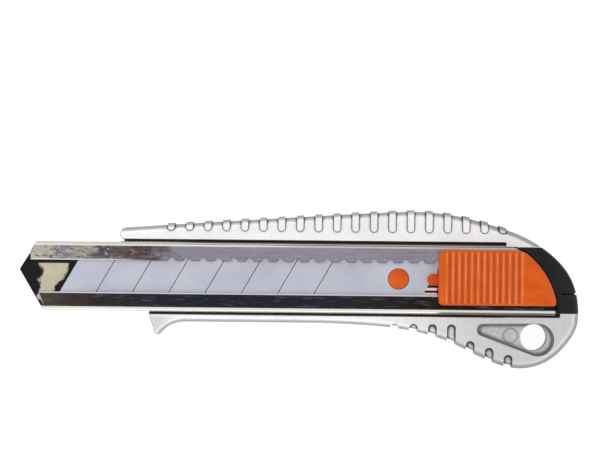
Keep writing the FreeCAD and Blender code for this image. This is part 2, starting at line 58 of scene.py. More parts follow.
# ---------------------------------------------------------------- sizes read from the frame, mm
channel_low, channel_high = (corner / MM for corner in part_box("blade_channel"))
blade_low, blade_high = (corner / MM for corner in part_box("snap_off_blade"))
button_low, button_high = (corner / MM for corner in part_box("slider_button"))
casting_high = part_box("handle_casting")[1] / MM
casting_face = casting_high.z
tip = channel_low.x
channel_middle = (channel_low.y + channel_high.y) / 2
channel_half = (channel_high.y - channel_low.y) / 2

# ---------------------------------------------------------------- places on the knife, mm
window_half = 4.4                       # half the slot between the channel's lips
pocket_half = channel_half + 0.45       # half the casting's pocket around the channel
arm_end = tip + 148.8                   # rear end of the pocket, on the hook's side
tab_end = tip + 134.1                   # and on the hump's side
mark_x = casting_high.x - 18.7          # round mark of the casting's ejector pin
mark_y = channel_middle - 15.3
mark_radius = 2.0
hook_grey_full = tip + 37.0             # the hook's grey is full up to here
hook_grey_end = tip + 45.0
wear_start, wear_full = 15.0, 60.0      # the casting gets greyer rearwards between these
wear_upper, wear_lower = 2.0, -5.0      # and from the middle towards the hook's side
bulge_start, bulge_full = 30.0, 55.0    # painted shade on its rounded borders grows between these
recess_front, recess_rear = 44.0, 90.0  # low floor around the lanyard hole
recess_upper = -3.0
sunk_from = 1.2                         # deeper than this below the front face is sunk
notches_start = tip + 36.0              # painted shadow outlines of the notches come in here
pale_start, pale_full = 10.0, 14.0      # the channel's floor turns pale
pink_start = blade_high.x - 10.0        # and a pink painted reflection on the hook's side, from here to the rear
bevel_top = blade_low.y + 1.2
score_depth = 0.035
blade_slant = math.radians(30.0)

# ---------------------------------------------------------------- thumb button's sizes, mm
button_wall = 1.4
button_roof = button_high.z - button_wall
button_rounding = 0.9                   # its top edge
button_rim = 0.2                        # its lower edge
wave_pitch = 1.73
wave_depth = 0.30
wave_count = 12
wave_first = button_low.x + 2.1
wave_last = wave_first + wave_count * wave_pitch
corner_power = 22.0                     # higher powers give sharper corners
rear_arc_x = tip + 126.31               # middle of the arc that is the button's rear side
rear_arc_y = channel_middle - 9.99
rear_arc_radius = button_high.x - rear_arc_x + 0.25

# ---------------------------------------------------------------- colours laid over the finishes
crevice_shade_black = (0.030, 0.036, 0.055)
edge_highlight_bright = (0.90, 0.91, 0.94)
gap_shadow_black = (0.006, 0.006, 0.006)
speckle_grey = (0.24, 0.24, 0.25)
mark_grey = (0.16, 0.16, 0.18)
border_shade_grey = (0.36, 0.36, 0.36)
rib_shade_grey = (0.20, 0.20, 0.27)
hook_grey = (0.50, 0.50, 0.51)
reflection_dab_dark = (0.05, 0.055, 0.09)
reflection_dab_pale = (0.75, 0.74, 0.72)
reflection_dash_purple = (0.22, 0.18, 0.24)
reflection_cloud_lavender = (0.58, 0.56, 0.66)
reflection_dash_blue = (0.20, 0.21, 0.34)
floor_shade_dark = (0.025, 0.025, 0.03)
floor_pale = (0.78, 0.72, 0.70)
nose_reflection_pink = (0.95, 0.86, 0.86)
nose_reflection_red = (0.13, 0.006, 0.010)
bend_highlight_white = (0.97, 0.94, 0.88)
bend_reflection_grey = (0.30, 0.27, 0.26)
band_reflection_brown = (0.10, 0.065, 0.07)
crease_reflection_brown = (0.10, 0.07, 0.055)
fold_reflection_brown = (0.22, 0.13, 0.11)
rim_highlight_white = (0.88, 0.86, 0.84)
notch_shadow_dark = (0.07, 0.055, 0.06)
shadow_black = (0.008, 0.008, 0.010)
corner_shade_brown = (0.03, 0.025, 0.02)
grinding_grey = (0.36, 0.39, 0.46)
bevel_bright = (0.70, 0.72, 0.76)
score_dark = (0.13, 0.14, 0.18)
edge_highlight_orange = (0.72, 0.16, 0.02)
trough_shade_red = (0.47, 0.045, 0.002)
crest_highlight_orange = (0.83, 0.235, 0.055)
groove_shade_brown = (0.17, 0.014, 0.001)
edge_highlight_black = (0.045, 0.05, 0.06)


# ---------------------------------------------------------------- finishes
class Finish:
    """One node material in the making, with its shader and the piece's own coordinates."""

    def __init__(self, name):
        self.material = bpy.data.materials.new(name)
        self.material.use_nodes = True
        self.tree = self.material.node_tree
        self.tree.nodes.clear()
        output = self.add("ShaderNodeOutputMaterial")
        self.shader = self.add("ShaderNodeBsdfPrincipled")
        self.tree.links.new(self.shader.outputs["BSDF"], output.inputs["Surface"])
        place = self.add("ShaderNodeTexCoord").outputs
        self.here = place["Object"]
        self.lean = place["Normal"]
        axes = self.add("ShaderNodeSeparateXYZ", {"Vector": self.here})
        self.x, self.y, self.z = (axes.outputs[axis] for axis in "XYZ")
        self.normal = None

    def add(self, kind, inputs=None, **options):
        """A node with its options set and its inputs filled by values or outputs."""
        made = self.tree.nodes.new(kind)
        for key, value in options.items():
            setattr(made, key, value)
        for key, value in (inputs or {}).items():
            if isinstance(value, bpy.types.NodeSocket):
                self.tree.links.new(value, made.inputs[key])
            else:
                made.inputs[key].default_value = value
        return made

    def noise(self, size, detail=3.0, roughness=0.5, shift=0.0):
        """Soft random pattern whose grains are size = (x, y, z) millimetres across."""
        scale = [1.0 / (s * MM) for s in size]
        moved = self.add("ShaderNodeMapping", {
            "Vector": self.here, "Scale": scale, "Location": (shift, 2 * shift, shift)})
        pattern = self.add("ShaderNodeTexNoise", {
            "Vector": moved.outputs["Vector"], "Scale": 1.0,
            "Detail": detail, "Roughness": roughness})
        return pattern.outputs["Fac"]

    def steps(self, value, stops):
        """Colour along a list of (place, colour) stops."""
        ramp = self.add("ShaderNodeValToRGB", {"Fac": value})
        marks = ramp.color_ramp.elements
        while len(marks) < len(stops):
            marks.new(0.5)
        for mark, (place, colour) in zip(marks, stops):
            mark.position = place
            mark.color = (*colour, 1.0)
        return ramp.outputs["Color"]

    def fade(self, value, first, last, low=0.0, high=1.0):
        """Smooth change from low at first to high at last."""
        inputs = {"Value": value, "From Min": first, "From Max": last, "To Min": low, "To Max": high}
        return self.add(
            "ShaderNodeMapRange", inputs, interpolation_type="SMOOTHSTEP").outputs["Result"]

    def worked_out(self, operation, *values):
        """Result of a sum done with one or two values."""
        made = self.add("ShaderNodeMath", operation=operation)
        for socket, value in zip(made.inputs, values):
            if isinstance(value, bpy.types.NodeSocket):
                self.tree.links.new(value, socket)
            else:
                socket.default_value = value
        return made.outputs["Value"]

    def rise(self, axis, first, last, low=0.0, high=1.0):
        """Smooth change between two places on an axis, which are given in millimetres."""
        return self.fade(axis, first * MM, last * MM, low, high)

    def invert(self, mask):
        """The mask's other side: 1 where it was 0."""
        return self.fade(mask, 0.0, 1.0, 1.0, 0.0)

    def plus(self, first, second):
        """One value added to another."""
        return self.worked_out("ADD", first, second)

    def minus(self, first, second):
        """The second value taken from the first."""
        return self.worked_out("SUBTRACT", first, second)

    def times(self, first, second):
        """Product of two values: two masks give the place where both hold."""
        return self.worked_out("MULTIPLY", first, second)

    def larger(self, first, second):
        """The larger of two values: two masks give the place where either holds."""
        return self.worked_out("MAXIMUM", first, second)

    def power(self, value, exponent):
        """A value raised to an exponent."""
        return self.worked_out("POWER", value, exponent)

    def unsigned(self, value):
        """A value without its sign."""
        return self.worked_out("ABSOLUTE", value)

    def cosine(self, value):
        """Cosine of an angle in radians."""
        return self.worked_out("COSINE", value)

    def within(self, value, low, high, soft):
        """1 between low and high millimetres along an axis, 0 outside, over a soft border."""
        up = self.rise(value, low - soft, low)
        down = self.rise(value, high, high + soft, 1.0, 0.0)
        return self.times(up, down)

    def blend(self, amount, first, second):
        """Colour between two colours."""
        made = self.add("ShaderNodeMix", data_type="RGBA")
        sockets = (made.inputs[0], made.inputs[6], made.inputs[7])
        for socket, value in zip(sockets, (amount, first, second)):
            if isinstance(value, bpy.types.NodeSocket):
                self.tree.links.new(value, socket)
            elif isinstance(value, tuple):
                socket.default_value = (*value, 1.0)
            else:
                socket.default_value = value
        return made.outputs[2]

    def crevice(self, reach):
        """1 on open surfaces, towards 0 in corners and grooves narrower than reach."""
        shade = self.add(
            "ShaderNodeAmbientOcclusion", {"Distance": reach * MM}, samples=12, only_local=True)
        return shade.outputs["AO"]

    def edges(self, radius):
        """1 along sharp edges: where a rounded normal leaves the true one."""
        rounded = self.add("ShaderNodeBevel", {"Radius": radius * MM}, samples=6)
        true = self.add("ShaderNodeNewGeometry").outputs["Normal"]
        inputs = {0: rounded.outputs["Normal"], 1: true}
        likeness = self.add("ShaderNodeVectorMath", inputs, operation="DOT_PRODUCT")
        return self.fade(likeness.outputs["Value"], 0.985, 0.86)

    def upright(self):
        """1 on faces level with the back, 0 on upright walls, whichever way they face."""
        axes = self.add("ShaderNodeSeparateXYZ", {"Vector": self.lean})
        return self.unsigned(axes.outputs["Z"])

    def hook_side(self):
        """1 on the hook's side of the channel's centre line, 0 on the hump's side."""
        return self.rise(self.y, channel_middle + 1.0, channel_middle - 1.0)

    def off_middle(self):
        """Distance from the channel's centre line, across the knife."""
        return self.unsigned(self.minus(self.y, channel_middle * MM))

    def ring(self, x, y, radius, width):
        """1 on a round line about an upright axis, 0 off it."""
        across = self.power(self.minus(self.x, x * MM), 2.0)
        along = self.power(self.minus(self.y, y * MM), 2.0)
        distance = self.power(self.plus(across, along), 0.5)
        return self.within(distance, radius - width / 2, radius + width / 2, width / 2)

    def bump(self, height, depth, strength=1.0):
        """Adds a relief of the given depth in millimetres to the surface."""
        inputs = {"Height": height, "Distance": depth * MM, "Strength": strength}
        if self.normal is not None:
            inputs["Normal"] = self.normal
        self.normal = self.add("ShaderNodeBump", inputs).outputs["Normal"]

    def done(self, colour, roughness, metal=0.0, **values):
        """Connects the colour, roughness and relief, and sets the even values."""
        inputs = self.shader.inputs
        for socket, value in ((inputs["Base Color"], colour), (inputs["Roughness"], roughness)):
            self.tree.links.new(value, socket)
        if isinstance(metal, bpy.types.NodeSocket):
            self.tree.links.new(metal, inputs["Metallic"])
        else:
            inputs["Metallic"].default_value = metal
        for key, value in values.items():
            inputs[key.replace("_", " ")].default_value = value
        if self.normal is not None:
            self.tree.links.new(self.normal, inputs["Normal"])
        return self.material


def cast_metal():
    """Satin die-cast alloy: bright on the flats, fine brushing, painted shade in every corner, painted
    highlights along sharp edges.
    """
    dull, clean = (0.92, 0.92, 0.93), (1.0, 1.0, 1.0)
    worn_grey, streak_grey = (0.56, 0.56, 0.57), (0.42, 0.42, 0.42)
    f = Finish("cast_metal")
    clouds = f.noise((14.0, 9.0, 9.0), 4.0, 0.55)
    base = f.steps(clouds, [(0.30, dull), (0.55, clean)])
    worn = f.times(f.rise(f.x, wear_start, wear_full, 0.0, 0.75), f.rise(f.y, wear_upper, wear_lower))
    base = f.blend(worn, base, worn_grey)
    brushing = f.noise((0.20, 3.4, 2.0), 3.0, 0.6)
    streaks = f.times(f.fade(brushing, 0.50, 0.72, 0.0, 0.55), f.fade(worn, 0.0, 0.7, 0.35, 1.0))
    base = f.blend(streaks, base, streak_grey)
    speckles = f.noise((0.5, 0.5, 0.5), 2.0, 0.4, shift=3.0)
    base = f.blend(f.fade(speckles, 0.70, 0.76, 0.0, 0.6), base, speckle_grey)
    grit = f.noise((0.7, 0.7, 0.7), 5.0, 0.7, shift=1.0)
    recess = recess_floor(f)
    base = cast_recess(f, base, recess, grit)
    # painted shade on the rear bulge's rounded borders, where the faces turn away; they are also made
    # rougher
    turning = f.fade(f.upright(), 0.9995, 0.84, 0.0, 0.72)
    turning = f.times(turning, f.rise(f.x, bulge_start, bulge_full))
    base = cast_borders(f, base, turning)
    # painted shadow in the gap between the casting's pocket and the channel
    base = f.blend(pocket_gap_shadow(f), base, gap_shadow_black)
    # painted shade: corners and grooves near the front face darkened by an occlusion mask
    shallow = f.rise(f.z, casting_face - 1.9, casting_face - sunk_from, 0.68, 1.0)
    crevice_shade = f.times(f.fade(f.crevice(1.3), 0.66, 0.95, 1.0, 0.0), shallow)
    base = f.blend(crevice_shade, base, crevice_shade_black)
    # painted highlight along the casting's sharp edges
    edge_highlight = f.times(f.edges(0.2), 0.35)
    base = f.blend(edge_highlight, base, edge_highlight_bright)
    rough = f.plus(f.fade(brushing, 0.2, 0.8, 0.30, 0.46), f.times(turning, 0.25))
    f.bump(f.noise((0.35, 0.35, 0.35), 4.0, 0.6, shift=5.0), 0.03, 0.5)
    f.bump(f.times(grit, recess), 0.10, 0.8)
    f.bump(brushing, 0.012, 0.6)
    return f.done(base, rough, metal=0.6)


def recess_floor(f):
    """1 on the low floor of the recess around the lanyard hole."""
    behind = f.within(f.x, recess_front, recess_rear, 0.5)
    sunk = f.within(f.z, 1.0, casting_face - sunk_from, 0.4)
    return f.times(f.times(behind, sunk), f.rise(f.y, recess_upper + 1.0, recess_upper - 1.0))


def cast_recess(f, base, recess, grit):
    """The recess's gritty floor, with the round line that an ejector pin leaves."""
    floor = f.steps(grit, [(0.3, (0.42, 0.42, 0.44)), (0.7, (0.70, 0.70, 0.73))])
    base = f.blend(recess, base, floor)
    mark = f.times(f.ring(mark_x, mark_y, mark_radius, 0.28), recess)
    return f.blend(f.times(mark, 0.6), base, mark_grey)


def cast_borders(f, base, turning):
    """Painted shade on walls and rounded borders, painted shade lines around the grip ribs, and a grey
    hook.
    """
    # painted shade on faces turned away from the front, olive on the hump's side
    leaning_shade = f.fade(f.upright(), 0.998, 0.50, 0.0, 0.90)
    wall = f.blend(f.rise(f.y, 0.0, 8.0), (0.26, 0.26, 0.27), (0.24, 0.24, 0.20))
    base = f.blend(leaning_shade, base, wall)
    base = f.blend(turning, base, border_shade_grey)
    above_pocket = f.rise(f.y, channel_high.y + 2.6, channel_high.y + 3.0)
    ribbed = f.times(above_pocket, f.rise(f.z, casting_face - 1.0, casting_face - 0.8))
    # painted shade outlining the grip ribs along their sharp edges
    rib_shade = f.times(f.times(f.edges(0.42), 0.85), ribbed)
    base = f.blend(rib_shade, base, rib_shade_grey)
    below_pocket = f.rise(f.y, channel_low.y - 0.6, channel_low.y - 1.6)
    hook = f.times(f.rise(f.x, hook_grey_end, hook_grey_full, 0.0, 0.5), below_pocket)
    return f.blend(hook, base, hook_grey)


def pocket_gap_shadow(f):
    """1 on the painted shadow in the gap along the channel, which ends sooner on the hump's side."""
    line = f.within(f.off_middle(), pocket_half - 0.7, pocket_half + 0.14, 0.10)
    upper_end = f.rise(f.x, tab_end, tab_end + 0.3, 1.0, 0.0)
    lower_end = f.times(f.hook_side(), f.rise(f.x, arm_end, arm_end + 0.3, 1.0, 0.0))
    line = f.times(line, f.larger(upper_end, lower_end))
    return f.times(line, f.rise(f.z, 0.3, 1.0))


def lip_tones(f, stops, wander):
    """Painted reflections along the channel: stops are (millimetres behind the tip, colour), edges
    wander.
    """
    length = channel_high.x - tip
    inputs = {"Value": f.x, "From Min": tip * MM, "From Max": channel_high.x * MM}
    along = f.add("ShaderNodeMapRange", inputs).outputs["Result"]
    moved = f.plus(along, f.times(f.minus(wander, 0.5), 0.14))
    return f.steps(moved, [(place / length, colour) for place, colour in stops])


def upper_lip(f, drift, dashes, mottled):
    """The notched lip, in painted reflections: cream at the tip, then speckled, brown, and lavender
    grey.
    """
    tones = lip_tones(f, [
        (1.0, (0.78, 0.74, 0.58)), (7.5, (0.72, 0.68, 0.53)), (11.0, (0.30, 0.30, 0.36)),
        (17.0, (0.56, 0.52, 0.43)), (22.0, (0.14, 0.13, 0.15)), (30.0, (0.19, 0.14, 0.13)),
        (36.0, (0.075, 0.042, 0.032)), (43.0, (0.39, 0.365, 0.445)), (85.0, (0.41, 0.385, 0.46)),
        (150.0, (0.34, 0.31, 0.38))], drift)
    dabs = f.noise((1.5, 0.7, 1.5), 4.0, 0.7, shift=4.0)
    dark_dabs = f.times(f.fade(dabs, 0.52, 0.64, 0.0, 0.8), mottled)
    tones = f.blend(dark_dabs, tones, reflection_dab_dark)
    pale_dabs = f.times(f.fade(dabs, 0.44, 0.36, 0.0, 0.7), mottled)
    tones = f.blend(pale_dabs, tones, reflection_dab_pale)
    tones = f.blend(f.fade(dashes, 0.52, 0.70, 0.0, 0.55), tones, reflection_dash_purple)
    cloud = f.noise((3.6, 0.9, 1.0), 3.0, 0.6, shift=8.0)
    return f.blend(f.fade(cloud, 0.50, 0.66, 0.0, 0.22), tones, reflection_cloud_lavender)


def lower_lip(f, drift, dashes):
    """The plain lip, in painted reflections: brown black, with short blue dashes."""
    tones = lip_tones(f, [
        (6.0, (0.10, 0.085, 0.07)), (20.0, (0.05, 0.04, 0.038)), (50.0, (0.028, 0.030, 0.050)),
        (95.0, (0.034, 0.032, 0.040)), (120.0, (0.026, 0.016, 0.007))], drift)
    return f.blend(f.fade(dashes, 0.54, 0.72, 0.0, 0.5), tones, reflection_dash_blue)


def channel_floor(f):
    """The channel's floor: painted shade and reflection at the tip, dark with a ragged cream patch,
    pale further back.

    Towards the rear its hook's side has a pink painted reflection of the orange nose, with two dark red
    stripes.
    """
    patch = f.noise((3.5, 3.5, 3.5), 3.0, 0.55, shift=1.7)
    wander = f.times(f.minus(patch, 0.5), 7.0 * MM)
    slanted = f.times(f.minus(f.y, blade_low.y * MM), math.tan(blade_slant))
    before_blade = f.minus(f.x, f.plus(slanted, wander))
    lit = f.times(f.rise(f.plus(f.x, wander), tip + 5.2, tip + 6.2),
                  f.rise(before_blade, blade_low.x - 1.6, blade_low.x - 2.6))
    lit = f.times(lit, f.rise(f.y, channel_middle + 3.6, channel_middle + 3.2))
    cream = f.steps(patch, [(0.35, (0.88, 0.80, 0.55)), (0.65, (0.74, 0.68, 0.50))])
    # painted shade and reflection at the tip: dark ground with a cream patch of painted reflection that
    # stops short of the blade's slanted edge
    tones = f.blend(lit, floor_shade_dark, cream)
    tones = f.blend(f.rise(f.x, pale_start, pale_full), tones, floor_pale)
    # painted reflection of the orange carrier's nose: pink, with two dark red stripes
    pink = f.times(f.rise(f.x, pink_start, pink_start + 0.5),
                   f.rise(f.y, channel_middle - 1.3, channel_middle - 1.6))
    tones = f.blend(pink, tones, nose_reflection_pink)
    stripes = ((-2.35, -1.5), (-3.75, -3.2))    # borders, from the channel's centre line
    for low, high in stripes:
        stripe = f.within(f.y, channel_middle + low, channel_middle + high, 0.12)
        tones = f.blend(f.times(stripe, pink), tones, nose_reflection_red)
    return tones


def folded_bends(f, tones, bend):
    """The two rounded folds, in painted reflections: nearly white highlight, with a brown line along
    each fold and darker outer sides.
    """
    off_middle = f.off_middle()
    hook_side = f.hook_side()
    hump_side = f.invert(hook_side)
    tones = f.blend(bend, tones, bend_highlight_white)
    grey_rear = f.times(f.rise(f.x, tip + 60.0, tip + 85.0, 0.0, 0.45), hump_side)
    tones = f.blend(f.times(grey_rear, bend), tones, bend_reflection_grey)
    band = f.times(f.within(off_middle, channel_half - 0.66, channel_half - 0.22, 0.10),
                   f.rise(f.x, tip + 114.0, tip + 117.0))
    tones = f.blend(f.times(band, f.times(hook_side, 0.85)), tones, band_reflection_brown)
    strength = f.rise(f.x, tip + 30.0, tip + 60.0, 0.55, 0.75)
    strength = f.times(strength, f.fade(hook_side, 0.0, 1.0, 1.0, 0.15))
    crease = f.within(off_middle, channel_half - 0.78, channel_half - 0.66, 0.14)
    tones = f.blend(f.times(crease, strength), tones, crease_reflection_brown)
    outer = f.times(f.rise(off_middle, channel_half - 0.5, channel_half - 0.3),
                    f.fade(strength, 0.55, 0.75, 0.0, 0.8))
    return f.blend(f.times(outer, hump_side), tones, fold_reflection_brown)


def plated_sheet():
    """Bright plating on folded steel: drifting tones of painted reflection on its flats, pale bends and
    rims of painted highlight, painted shade at notches and corners.
    """
    f = Finish("plated_sheet")
    drift = f.noise((5.0, 2.6, 5.0), 3.0, 0.6, shift=2.0)
    dashes = f.noise((5.0, 0.5, 1.0), 3.0, 0.6, shift=6.0)
    mottled = f.rise(f.x, tip + 40.0, tip + 22.0)
    # painted reflections on the lips, upper and lower
    lips = f.blend(f.hook_side(), upper_lip(f, drift, dashes, mottled), lower_lip(f, drift, dashes))
    under = f.rise(f.z, channel_high.z - 1.4, channel_high.z - 2.0)
    tones = f.blend(under, lips, channel_floor(f))

    off_middle = f.off_middle()
    # painted highlight along the lips' rounded inner edges
    rim = f.within(off_middle, window_half - 0.1, window_half + 0.28, 0.14)
    rim = f.times(rim, f.larger(mottled, f.rise(f.y, channel_middle, channel_middle - 1.0)))
    rim = f.times(rim, f.invert(under))
    tones = f.blend(f.times(rim, 0.85), tones, rim_highlight_white)
    # painted highlights and reflections on the channel's two folds
    bend = f.rise(off_middle, channel_half - 1.45, channel_half - 1.15)
    tones = folded_bends(f, tones, bend)
    # painted shadow along the notches' edges
    notch_shadow = f.times(f.within(off_middle, window_half - 0.3, window_half + 0.9, 0.1),
                    f.invert(f.hook_side()))
    notch_shadow = f.times(notch_shadow, f.edges(0.38))
    notch_shadow = f.times(notch_shadow, f.rise(f.x, notches_start - 2.0, notches_start + 2.0))
    tones = f.blend(notch_shadow, tones, notch_shadow_dark)
    cap_shadow = f.times(f.ring(rear_arc_x, rear_arc_y, rear_arc_radius + 0.3, 0.8),
                         f.rise(f.x, rear_arc_x, rear_arc_x + 1.0))
    tones = f.blend(cap_shadow, tones, shadow_black)
    # painted shade in the channel's corners and narrow gaps, from an occlusion mask
    corner_shade = f.fade(f.crevice(0.5), 0.35, 0.8, 0.8, 0.0)
    tones = f.blend(corner_shade, tones, corner_shade_brown)

    rolling = f.noise((9.0, 0.25, 0.25), 3.0, 0.6)
    rough = f.fade(rolling, 0.3, 0.8, 0.07, 0.20)
    f.bump(f.noise((7.0, 2.4, 2.4), 1.5, 0.4), 0.02, 0.55)
    f.bump(rolling, 0.002, 0.5)
    silvery = f.fade(f.larger(bend, rim), 0.2, 0.9, 1.0, 0.55)
    return f.done(tones, rough, metal=silvery)


def rivet_metal():
    """Steel of the rivets: pale grey with darker stains and a fine grain."""
    f = Finish("rivet_metal")
    stains = f.noise((1.5, 1.5, 1.5), 4.0, 0.6)
    colour = f.steps(stains, [(0.3, (0.30, 0.30, 0.30)), (0.7, (0.58, 0.57, 0.56))])
    rough = f.fade(stains, 0.3, 0.8, 0.28, 0.5)
    f.bump(f.noise((0.2, 0.2, 0.2), 4.0, 0.6), 0.01, 0.6)
    return f.done(colour, rough, metal=1.0)


def ground_steel():
    """Matte ground blade steel, pale blue-grey, with dark score lines and a brighter bevel."""
    f = Finish("ground_steel")
    grinding = f.noise((0.16, 6.0, 1.0), 3.0, 0.6)
    cloud = f.noise((12.0, 9.0, 9.0), 3.0, 0.5)
    colour = f.steps(cloud, [(0.3, (0.49, 0.50, 0.59)), (0.7, (0.58, 0.59, 0.68))])
    colour = f.blend(f.fade(grinding, 0.5, 0.8, 0.0, 0.35), colour, grinding_grey)
    bevel = f.rise(f.y, bevel_top, bevel_top - 0.2)
    colour = f.blend(bevel, colour, bevel_bright)
    groove = f.times(f.within(f.z, blade_high.z - 0.3, blade_high.z - score_depth, 0.02),
                     f.rise(f.y, bevel_top - 0.05, bevel_top + 0.05))
    colour = f.blend(groove, colour, score_dark)
    rough = f.fade(grinding, 0.3, 0.8, 0.38, 0.55)
    f.bump(grinding, 0.004, 0.5)
    return f.done(colour, rough, metal=0.45)


def spring_strip():
    """Blued spring steel with marks along the strip."""
    f = Finish("spring_strip")
    marks = f.noise((4.0, 0.3, 0.12), 3.0, 0.6)
    colour = f.steps(marks, [(0.3, (0.22, 0.23, 0.26)), (0.7, (0.42, 0.42, 0.44))])
    rough = f.fade(marks, 0.3, 0.8, 0.25, 0.4)
    f.bump(marks, 0.004, 0.5)
    return f.done(colour, rough, metal=1.0)


def orange_moulding():
    """Orange moulding: faint flow streaks, painted highlights along edges and on the wave crests,
    painted shade in the troughs and crevices.
    """
    f = Finish("orange_moulding")
    flow = f.noise((7.0, 3.0, 3.0), 3.0, 0.5)
    colour = f.steps(flow, [(0.3, (0.62, 0.082, 0.002)), (0.7, (0.73, 0.110, 0.005))])
    # painted highlight along the moulding's sharp edges
    colour = f.blend(f.times(f.edges(0.25), 0.35), colour, edge_highlight_orange)
    angle_per_mm = 2 * math.pi / wave_pitch
    wave = f.cosine(f.times(f.minus(f.x, wave_first * MM), angle_per_mm / MM))
    waved = f.times(f.within(f.x, wave_first - 0.3, wave_last + 0.3, 0.2),
                    f.rise(f.z, button_high.z - 0.7, button_high.z - 0.5))
    waved = f.times(waved, f.within(f.y, button_low.y + 1.0, button_high.y - 1.0, 0.7))
    # painted shade in the wave troughs
    trough_shade = f.times(f.fade(wave, 0.1, -0.9, 0.0, 0.75), waved)
    colour = f.blend(trough_shade, colour, trough_shade_red)
    gleam = f.noise((0.9, 9.0, 3.0), 2.0, 0.5, shift=7.0)
    # painted highlight on the wave crests
    crest_highlight = f.times(f.fade(wave, 0.35, 0.98), f.fade(gleam, 0.35, 0.60, 0.35, 1.0))
    colour = f.blend(f.times(crest_highlight, waved), colour, crest_highlight_orange)
    # painted shade in crevices and between the waves, from an occlusion mask
    groove_shade = f.fade(f.crevice(0.5), 0.30, 0.60, 0.85, 0.0)
    colour = f.blend(groove_shade, colour, groove_shade_brown)
    grain = f.noise((0.16, 0.16, 0.16), 3.0, 0.5)
    rough = f.fade(grain, 0.3, 0.8, 0.34, 0.46)
    f.bump(grain, 0.006, 0.4)
    return f.done(colour, rough, Specular_IOR_Level=0.22, Subsurface_Weight=0.04)


def black_moulding():
    """Fine-grained black moulding, with a painted highlight along its edges."""
    f = Finish("black_moulding")
    haze = f.noise((5.0, 5.0, 5.0), 3.0, 0.5)
    colour = f.steps(haze, [(0.3, (0.005, 0.0055, 0.008)), (0.7, (0.010, 0.011, 0.015))])
    # painted highlight along the moulding's sharp edges
    colour = f.blend(f.times(f.edges(0.3), 0.6), colour, edge_highlight_black)
    grain = f.noise((0.12, 0.12, 0.12), 4.0, 0.6)
    rough = f.fade(grain, 0.3, 0.8, 0.36, 0.52)
    f.bump(grain, 0.012, 0.5)
    return f.done(colour, rough, Specular_IOR_Level=0.22)


def pale_card():
    """Plain pale floor with a faint tooth, which also glows by itself."""
    f = Finish("pale_card")
    tooth = f.noise((1.2, 1.2, 1.2), 3.0, 0.5)
    colour = f.steps(tooth, [(0.3, (0.25, 0.25, 0.25)), (0.7, (0.28, 0.28, 0.28))])
    rough = f.fade(tooth, 0.3, 0.8, 0.75, 0.9)
    return f.done(colour, rough, Emission_Color=(1.0, 1.0, 1.0, 1.0), Emission_Strength=0.90)


def dress(name, material):
    """Gives a CAD node its finish, in every material slot it has."""
    slots = parts[name].data.materials
    if not slots:
        slots.append(material)
    for i in range(len(slots)):
        slots[i] = material


# ---------------------------------------------------------------- thumb button
def button_reach(angle, middle):
    """Distance from the button's middle to its outline, for whole arrays of directions.

    Each side gives the length of the ray that reaches it: the front, upper and lower sides
    are straight and the rear one is a circle.  The lengths are put together by a soft
    minimum, the root of the sum of their inverse powers, which rounds the corners.
    """
    cosine, sine = np.cos(angle), np.sin(angle)
    far = 1e3           # stands for a side that the ray never reaches
    level = 1e-6        # rays nearer to a side's own direction count as missing it
    front = np.where(cosine < -level, (button_low.x - middle[0]) / np.minimum(cosine, -level), far)
    upper = np.where(sine > level, (button_high.y - middle[1]) / np.maximum(sine, level), far)
    lower = np.where(sine < -level, (button_low.y - middle[1]) / np.minimum(sine, -level), far)
    from_centre = np.array([middle[0] - rear_arc_x, middle[1] - rear_arc_y])
    along = cosine * from_centre[0] + sine * from_centre[1]
    rear = -along + np.sqrt(along ** 2 - from_centre @ from_centre + rear_arc_radius ** 2)
    sides = np.stack([front, upper, lower, rear])
    return (sides ** -corner_power).sum(axis=0) ** (-1.0 / corner_power)


def ease(value, first, last):
    """Smooth step from 0 at first to 1 at last."""
    t = np.clip((value - first) / (last - first), 0.0, 1.0)
    return t * t * (3 - 2 * t)


def wave_height(x, y):
    """Height of the waved top: a cosine along x that fades out towards all four borders."""
    half_fade, margin_start, margin_end = 0.3, 0.7, 1.5
    phase = 2 * math.pi * (x - wave_first) / wave_pitch
    lengthwise = ease(x, wave_first - half_fade, wave_first + half_fade)
    lengthwise = lengthwise * ease(x, wave_last + half_fade, wave_last - half_fade)
    crosswise = ease(y, button_low.y + margin_start, button_low.y + margin_end)
    crosswise = crosswise * ease(y, button_high.y - margin_start, button_high.y - margin_end)
    return button_high.z - wave_depth * (0.5 - 0.5 * np.cos(phase)) * lengthwise * crosswise


def button_rings():
    """Profile of the button's shell: (inset from the outline, share of the way to the middle, z).

    It starts in the middle of the hollow's roof, runs out and down the inner wall, round the
    rim, up the outer wall, round the top edge by a quarter circle, and in to the middle.
    """
    roof_rings, wall_rings, turn_rings, top_rings = 12, 8, 9, 84
    roof_share, top_share = 0.98, 0.99      # shares of the innermost rings
    clear = 0.2                             # height left between a wall's rings and a corner
    turn = np.linspace(0.0, math.pi / 2, turn_rings)
    wall, rim, edge = button_wall, button_rim, button_rounding
    base, top = button_low.z, button_high.z
    rings = [(wall, share, button_roof) for share in np.linspace(roof_share, 0.0, roof_rings)]
    rings += [(wall, 0.0, z) for z in np.linspace(button_roof - clear, base + rim, wall_rings)]
    rings += [(wall - rim + rim * math.cos(a), 0.0, base + rim - rim * math.sin(a)) for a in turn[1:]]
    rings += [(rim - rim * math.sin(a), 0.0, base + rim - rim * math.cos(a)) for a in turn]
    rings += [(0.0, 0.0, z) for z in np.linspace(base + 2 * rim, top - edge - clear, wall_rings)]
    rings += [(edge - edge * math.cos(a), 0.0, top - edge + edge * math.sin(a)) for a in turn]
    rings += [(edge, share, top) for share in np.linspace(0.0, top_share, top_rings)[1:]]
    return np.array(rings)


